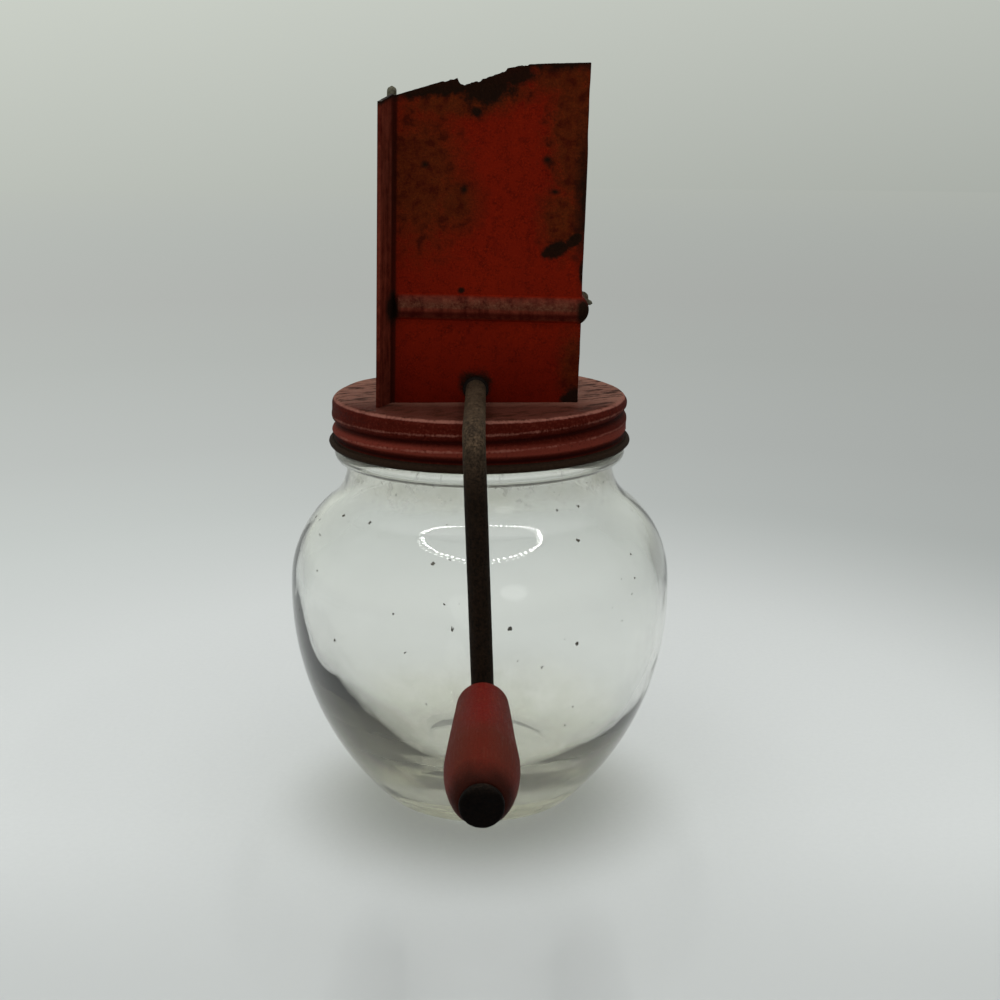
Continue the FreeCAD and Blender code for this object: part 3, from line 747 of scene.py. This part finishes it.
def bar_tree():
    """Geometry Nodes: a round bar along a line of points, pitted by rust."""
    tree = bpy.data.node_groups.new("round bar along a path", "GeometryNodeTree")
    for name, kind in (("Path", "Geometry"), ("Bar radius", "Float"), ("Sides", "Int"),
                       ("Pit depth", "Float"), ("Pit size", "Float"), ("Finish", "Material")):
        tree.interface.new_socket(name, in_out="INPUT", socket_type="NodeSocket" + kind)
    tree.interface.new_socket("Bar", in_out="OUTPUT", socket_type="NodeSocketGeometry")

    def geometry(kind, **inputs):
        """Add a geometry node. An underscore in an input's name stands for a space."""
        named = {name.replace("_", " "): value for name, value in inputs.items()}
        return add(tree, kind, named, family="GeometryNode").outputs[0]

    given = add(tree, "Input", {}, family="NodeGroup").outputs
    curve = geometry("MeshToCurve", Mesh=given["Path"])
    circle = geometry("CurvePrimitiveCircle", Resolution=given["Sides"],
                      Radius=given["Bar radius"])
    sweep = geometry("CurveToMesh", Curve=curve, Profile_Curve=circle, Fill_Caps=True,
                     Scale=geometry("InputNamedAttribute", Name="thickness"))
    fineness = maths(tree, "DIVIDE", 1.0, given["Pit size"])
    pits = add(tree, "TexNoise", {"Vector": geometry("InputPosition"), "Scale": fineness})
    centred = maths(tree, "SUBTRACT", pits.outputs[0], 0.5)
    depth = maths(tree, "MULTIPLY", centred, given["Pit depth"])
    push = add(tree, "VectorMath", {0: geometry("InputNormal"), "Scale": depth},
               operation="SCALE").outputs[0]
    moved = geometry("SetPosition", Geometry=sweep, Offset=push)
    smooth = geometry("SetShadeSmooth", Geometry=moved)
    realised = geometry("RealizeInstances", Geometry=smooth)
    finish = geometry("SetMaterial", Geometry=realised, Material=given["Finish"])
    add(tree, "Output", {"Bar": finish}, family="NodeGroup")
    return tree


round_bar = bar_tree()


def bar_piece(name, route, thickness, radius, pit_depth, finish):
    """A round bar through points in millimetres; thickness scales its radius at each point."""
    edges = [(index, index + 1) for index in range(len(route) - 1)]
    mesh = bpy.data.meshes.new(name)
    mesh.from_pydata([Vector(point) / 1000 for point in route], edges, [])
    mesh.attributes.new("thickness", "FLOAT", "POINT").data.foreach_set("value", thickness)
    piece = bpy.data.objects.new(name, mesh)
    bpy.context.scene.collection.objects.link(piece)
    bar = piece.modifiers.new("bar", "NODES")
    bar.node_group = round_bar
    sizes = {"Bar radius": radius / 1000, "Sides": 36, "Pit depth": pit_depth / 1000,
             "Pit size": 0.0022, "Finish": finish}
    for item in round_bar.interface.items_tree:
        if item.name in sizes:
            bar[item.identifier] = sizes[item.name]
    return finished(piece)


def routed(points, radii, spacing):
    """Even points along straight runs joined by tangent arcs."""
    corners = [Vector(point) for point in points]
    route = [corners[0]]
    for before, corner, after, radius in zip(corners, corners[1:], corners[2:], radii):
        back, ahead = (before - corner).normalized(), (after - corner).normalized()
        half = back.angle(ahead) / 2
        enter = corner + back * (radius / math.tan(half))
        centre = corner + (back + ahead).normalized() * (radius / math.sin(half))
        first, last = enter - centre, corner + ahead * (radius / math.tan(half)) - centre
        route.extend(straight(route[-1], enter, spacing))
        steps = max(4, round(radius * first.angle(last) / spacing))
        for step in range(1, steps + 1):
            route.append(centre + first.slerp(last, step / steps) * radius)
    route.extend(straight(route[-1], corners[-1], spacing))
    return route


def straight(start, end, spacing):
    """Even points after the start of a straight run, with its end."""
    steps = max(1, round((end - start).length / spacing))
    return [start.lerp(end, step / steps) for step in range(1, steps + 1)]


def make_rusty_steel(name, dark_hex, light_hex, paler_hex, paler_from, paler_to):
    """Mild steel under a skin of old rust, paler in patches over part of its height."""
    material, place = start_material(name)
    z = axis(material, place, 2)
    crust = pattern(material, place, 3, 6, 0.7)
    grit = pattern(material, place, 0.6, 4, 0.7)
    tone = ramp(material, grit, 0.35, 0.75)
    base = mix(material, tone, dark_hex, light_hex)
    height = ramp(material, z, paler_from, paler_to)
    patchy = maths(material, "MULTIPLY", crust, 1.5)
    paler = maths(material, "MULTIPLY", height, patchy, clamp=True)
    paler_speckled = maths(material, "MULTIPLY_ADD", paler, tone, 0.1, clamp=True)
    paler_part = maths(material, "MULTIPLY", paler, paler_speckled)
    colour = mix(material, paler_part, base, paler_hex)
    rough = ramp(material, crust, 0.3, 0.7, 0.5, 0.85)
    return end_material(material, colour, rough, grit, 0.14, {"Specular IOR Level": 0.04})


rod_corners = [(0, 16.2, SHAFT_Z), (0, ARM_Y, SHAFT_Z), (0, ARM_Y, SHAFT_Z - CRANK_R),
               (0, -125.6, SHAFT_Z - CRANK_R)]
rod_route = routed([hung(point) for point in rod_corners], [9, 5], 1.0)
rod_thickness = [1.1 if point.y > 15.2 else 1.0 for point in rod_route]
# Painted highlight: the rod is painted paler from 99 mm up, over its upper bend.
rod = bar_piece("bent_rod", rod_route, rod_thickness, ROD_R, 0.09,
                make_rusty_steel("rusted mild steel rod", "0C0805", "241910", "62513F", 99, 113))
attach(rod, "crank")
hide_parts("crank_rod")


# Cross wire
# Stiff galvanised wire through both side walls at the bead, its left end turned up outside.
# Only its rounded tip at the top and its drawn-out tip at the right show from the front.
WIRE_Z, WIRE_R, WIRE_TIP_X, WIRE_TOP_Z = 134.8, 1.2, 29.3, 188.0
wire_finish = make_rusty_steel("galvanised wire, grey-green", "3A392C", "6C6A58", "57544A", 0, 1)
wire_route = routed([(WIRE_TIP_X, 0, 133.9), (26.6, 0, 134.75), (-24.07, 0, WIRE_Z),
                     (-21.5, 0, WIRE_TOP_Z)], [3, 2.6], 0.5)
wire_thickness = []
for point in wire_route:
    from_tip = max(WIRE_TIP_X - point.x, 0.0)
    from_top = max(WIRE_TOP_Z - point.z, 0.0)
    drawn = 0.38 + 0.62 * min(from_tip / 3.2, 1.0)
    rounding = math.sqrt(max(1 - (1 - min(from_top / 1.2, 1.0)) ** 2, 0.02))
    nose = math.sqrt(max(1 - (1 - min(from_tip / 0.5, 1.0)) ** 2, 0.02))
    wire_thickness.append(drawn * rounding * nose)
wire = bar_piece("tie_wire", wire_route, wire_thickness, WIRE_R, 0.1, wire_finish)
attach(wire, "lid")
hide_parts("cross_wire")


# Solder
# A lump of old solder round the wire at each side wall, brown with rust and grime.
LUMP_SIDES = 40


def close_bore(faces, section, sides):
    """Join the last ring of a lathe form to its first, so that a bore runs through it."""
    last = sides * (len(section) - 1)
    for side in range(sides):
        after = (side + 1) % sides
        faces.append((last + side, last + after, after, side))


def lump(name, wall_x, heading):
    """A rough dome of solder that stands on a side wall, round the wire."""
    section = [(1.1, -0.9), (2.3, -0.9), (2.25, -0.2), (2.05, 0.25), (1.8, 0.6), (1.5, 0.9),
               (1.3, 1.1), (1.1, 1.15)]

    def rough(index, angle, radius, height):
        """Uneven outside, even bore."""
        bump = noise.noise(Vector((3 * math.cos(angle), 3 * math.sin(angle), height + wall_x)))
        return (radius * (1 + 0.09 * bump) if radius > 1.2 else radius), height

    points, faces = lathe(section, LUMP_SIDES, rough)
    close_bore(faces, section, LUMP_SIDES)
    placed = [(wall_x + heading * height, heading * across, WIRE_Z + up)
              for up, across, height in points]
    return mesh_piece(name, placed, faces, solder_finish)


solder_finish = make_rusty_steel("old solder, rust-stained", "2A1E14", "6A6252", "3E3428", 0, 1)
for name, wall_x, heading in (("left_solder", -21.9, -1), ("right_solder", 27.0, 1)):
    dome = lump(name, wall_x, heading)
    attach(dome, "lid")
    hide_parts("wire_solder")


# Grip
# Turned hardwood, painted red and worn by the hand, with a painted highlight along its top; brown
# and grimy where dirt has soaked in by the cap. It turns freely on the spindle.
GRIP_SIDES = 96
GRIP_START_Y, CAP_START_Y = -77.0, -124.5


def make_worn_grip_paint():
    """Red paint rubbed into turned wood: grain shows along it, a painted highlight runs along its
    top, and it is grimy and dark at the cap.
    """
    material, place = start_material("worn red paint on hardwood")
    axes = add(material, "SeparateXYZ", {0: place})
    along = stretched(material, place, (1.0, 0.12, 1.0))
    grain = pattern(material, along, 0.55, 4, 0.65)
    grit = pattern(material, place, 0.4, 3, 0.7)
    patches = pattern(material, place, 6, 4)
    # Painted highlight: a brighter red stripe is painted along the top and underside of the grip.
    stripe = maths(material, "SUBTRACT", axes.outputs[0], 1.0)
    off_stripe = maths(material, "ABSOLUTE", stripe)
    highlight_stripe = ramp(material, off_stripe, 4.5, 0.8, 0, 0.85)
    side_red = mix(material, patches, "4C1812", "5A1F18")
    red = mix(material, highlight_stripe, side_red, "64150F")
    dusty = ramp(material, grain, 0.52, 0.72, 0, 0.5)
    dusted = mix(material, dusty, red, "764438")
    dark = ramp(material, grit, 0.48, 0.3, 0, 0.85)
    speckled = mix(material, dark, dusted, "280C07")
    browned = maths(material, "MULTIPLY_ADD", patches, 12.0, axes.outputs[1])
    brown_reach = ramp(material, browned, -93.0, -101.0)
    upper = ramp(material, axes.outputs[2], 55.0, 60.0, 0, 0.6)
    brown_part = maths(material, "MULTIPLY", brown_reach, upper)
    brown = mix(material, brown_part, speckled, "4A1F13")
    nose = maths(material, "MULTIPLY_ADD", patches, 5.0, axes.outputs[1])
    darkened = ramp(material, nose, -116.5, -121.0, 0, 0.85)
    colour = mix(material, darkened, brown, "1E0C07")
    rough = ramp(material, grain, 0.35, 0.7, 0.5, 0.7)
    relief = maths(material, "ADD", grain, grit)
    return end_material(material, colour, rough, relief, 0.1, {"Specular IOR Level": 0.03})


def along_grip(points, start_y):
    """Lay a lathe form along the spindle, from start_y towards the front."""
    return [hung((x, start_y - z, SHAFT_Z - CRANK_R + y)) for x, y, z in points]


def grip_shape(index, angle, radius, height):
    """Slightly out of round, as hand-held wood is."""
    wear = noise.noise(Vector((2 * math.cos(angle), 2 * math.sin(angle), height / 15)))
    return radius * (1 + 0.012 * wear), height


grip_section = run((2.65, 47.3), (2.65, 0), 12) + arc(4.55, 1.2, 1.2, -90, -2, 6)
grip_section += run((5.8, 2.0), (7.55, 30.5), 14)
for step in range(25):
    turn = math.pi / 2 * step / 24
    grip_section.append((4.1 + 3.5 * math.cos(turn), 32 + 15.3 * math.sin(turn)))
grip_section += run((3.9, 47.3), (2.65, 47.3), 3)[:-1]
grip_points, grip_faces = lathe(grip_section, GRIP_SIDES, grip_shape)
close_bore(grip_faces, grip_section, GRIP_SIDES)
grip = mesh_piece("turned_grip", along_grip(grip_points, GRIP_START_Y), grip_faces,
                  make_worn_grip_paint())
grip.data.set_sharp_from_angle(angle=math.radians(50))
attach(grip, "grip")
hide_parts("wood_grip")


# Grip cap
# A small steel cap riveted over the spindle's end, near black with rust and slightly dished.
def cap_shape(index, angle, radius, height):
    """Small knocks in the steel."""
    knock = noise.noise(Vector((radius * math.cos(angle), radius * math.sin(angle), height)) / 1.6)
    return radius * (1 + 0.012 * knock), height + 0.11 * knock


cap_section = run((0, 0.05), (3.6, 0.0), 4) + arc(3.75, 0.6, 0.6, -90, 0, 5)
cap_section += arc(3.55, 1.28, 0.8, 0, 80, 6) + run((3.3, 2.07), (0.9, 1.85), 6) + [(0, 1.8)]
cap_points, cap_faces = lathe(cap_section, 72, cap_shape)
# Painted highlight: the cap is painted paler above 57.2 mm, along its top rim.
cap_finish = make_rusty_steel("black rusted steel cap", "020101", "0D0704", "362A21", 57.2, 59.5)
cap = mesh_piece("rivet_cap", along_grip(cap_points, CAP_START_Y), cap_faces, cap_finish)
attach(cap, "crank")
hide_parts("grip_cap")


# Studio
# A plain pale floor that fades into the backdrop, under a ring light, a soft fill and a small
# soft box. An even sky lights the object. The camera, gloss and glass see a graded backdrop.
FLOOR_R, FLOOR_Z = 4000, -0.05


def make_floor_card():
    """Matt pale card near the object, with a painted shadow round the jar and painted shade
    towards the front. Further out it takes the backdrop's own colour.
    """
    material, place = start_material("matt pale card")
    tooth = pattern(material, place, 1.5, 2)
    card_colour = mix(material, tooth, "D5D9D7", "DADEDC")
    # Painted shade: the card is painted darker towards the front.
    forward = axis(material, place, 1)
    nearer = ramp(material, forward, -20, -110, smooth=True)
    graded = mix(material, nearer, card_colour, "C6CAC8")
    # Painted shadow: the card is painted darker round the jar's base.
    beside = add(material, "VectorMath", {0: place, 1: (0, -10, 0)},
                 operation="SUBTRACT").outputs[0]
    near = length(material, beside)
    shade = ramp(material, near, 62, 20, 0, 0.68, smooth=True)
    colour = mix(material, shade, graded, "74766E")
    bump = add(material, "Bump", {"Height": tooth, "Strength": 1.0,
                                  "Distance": 0.00002}).outputs[0]
    card = add(material, "BsdfPrincipled", {"Base Color": colour, "Roughness": 0.95,
                                            "Specular IOR Level": 0.1, "Normal": bump}).outputs[0]
    distance = length(material, place)
    far = add(material, "ValToRGB", {0: maths(material, "MULTIPLY", distance, 1 / FLOOR_R)})
    stops = far.color_ramp.elements
    stops[0].position, stops[0].color = 0.07, linear("BABFBC")
    stops[1].position, stops[1].color = 1.0, linear("B4B8B1")
    for at, tone in ((0.115, "B3B7B4"), (0.2, "AEB2AE"), (0.3, "ADB0AC"), (0.5, "AFB3AE"),
                     (0.75, "B2B6B0")):
        stops.new(at).color = linear(tone)
    across = axis(material, place, 0)
    sideways = maths(material, "DIVIDE", across, distance)
    dimmer = maths(material, "MULTIPLY_ADD", sideways, -0.25, 1.0)
    glow = add(material, "Emission", {"Color": far.outputs[0], "Strength": dimmer}).outputs[0]
    fade = ramp(material, distance, 120, 340, smooth=True)
    both = add(material, "MixShader", {0: fade, 1: card, 2: glow}).outputs[0]
    add(material, "OutputMaterial", {"Surface": both})
    return material


floor_points, floor_faces = lathe([(FLOOR_R, FLOOR_Z), (0, FLOOR_Z)], 96,
                                  lambda index, angle, radius, height: (radius, height))
floor = mesh_piece("floor_card", floor_points, floor_faces, make_floor_card())

world = bpy.data.worlds.new("pale studio")
bpy.context.scene.world = world
world.use_nodes = True
world.node_tree.nodes.clear()
rays = add(world, "LightPath", {}).outputs
seen = maths(world, "ADD", rays["Is Camera Ray"], rays["Is Glossy Ray"], clamp=True)
seen_all = maths(world, "ADD", seen, rays["Is Transmission Ray"], clamp=True)
lighting = add(world, "Background", {"Color": linear("FFFFFF"), "Strength": 0.62}).outputs[0]
heading = add(world, "TexCoord", {}).outputs["Generated"]
tilt = add(world, "VectorMath", {0: heading, 1: (-0.52, 0.0, 2.8)}, operation="DOT_PRODUCT")
height = ramp(world, tilt.outputs["Value"], -0.45, 0.55)
pale = mix(world, height, "A1A59F", "D1D6CD")
backdrop = add(world, "Background", {"Color": pale, "Strength": 1.0}).outputs[0]
choice = add(world, "MixShader", {0: seen_all, 1: lighting, 2: backdrop}).outputs[0]
add(world, "OutputWorld", {"Surface": choice})


def soft_lamp(name, place, aim, size, power, shines):
    """A round soft light that points at a place, all in metres and watts."""
    light = bpy.data.lights.new(name, "AREA")
    light.shape = "DISK"
    light.size = size
    light.energy = power
    lamp = bpy.data.objects.new(name, light)
    lamp.location = place
    lamp.rotation_euler = (Vector(aim) - Vector(place)).to_track_quat("-Z", "Y").to_euler()
    lamp.visible_glossy = shines
    lamp.visible_transmission = shines
    bpy.context.scene.collection.objects.link(lamp)


RING_BULBS, RING_R, RING_X, RING_Y, RING_Z = 48, 0.27, 0.01, -0.09, 0.66
for bulb in range(RING_BULBS):
    turn = 2 * math.pi * bulb / RING_BULBS
    place = (RING_X + RING_R * math.cos(turn), RING_R * math.sin(turn) + RING_Y, RING_Z)
    soft_lamp("ring light bulb", place, (0, 0, 0.06), 0.016, 1.9 / RING_BULBS, True)
soft_lamp("front fill", (-0.5, -0.9, 0.5), (0, 0, 0.1), 0.6, 1.2, False)
soft_lamp("soft box", (0.37, -0.97, 0.54), (0, 0, 0.08), 0.32, 0.22, True)

view = bpy.data.cameras.new("photo angle")
view.sensor_width = 36.0
view.lens = 51.75
view.clip_start = 0.01
camera = bpy.data.objects.new("photo angle", view)
camera.location = (0.0026, -0.37235, 0.17814)
camera.rotation_euler = (math.radians(75.444), 0.0, math.radians(-0.43))
bpy.context.scene.collection.objects.link(camera)
bpy.context.scene.camera = camera
bpy.context.scene.view_settings.view_transform = "Standard"
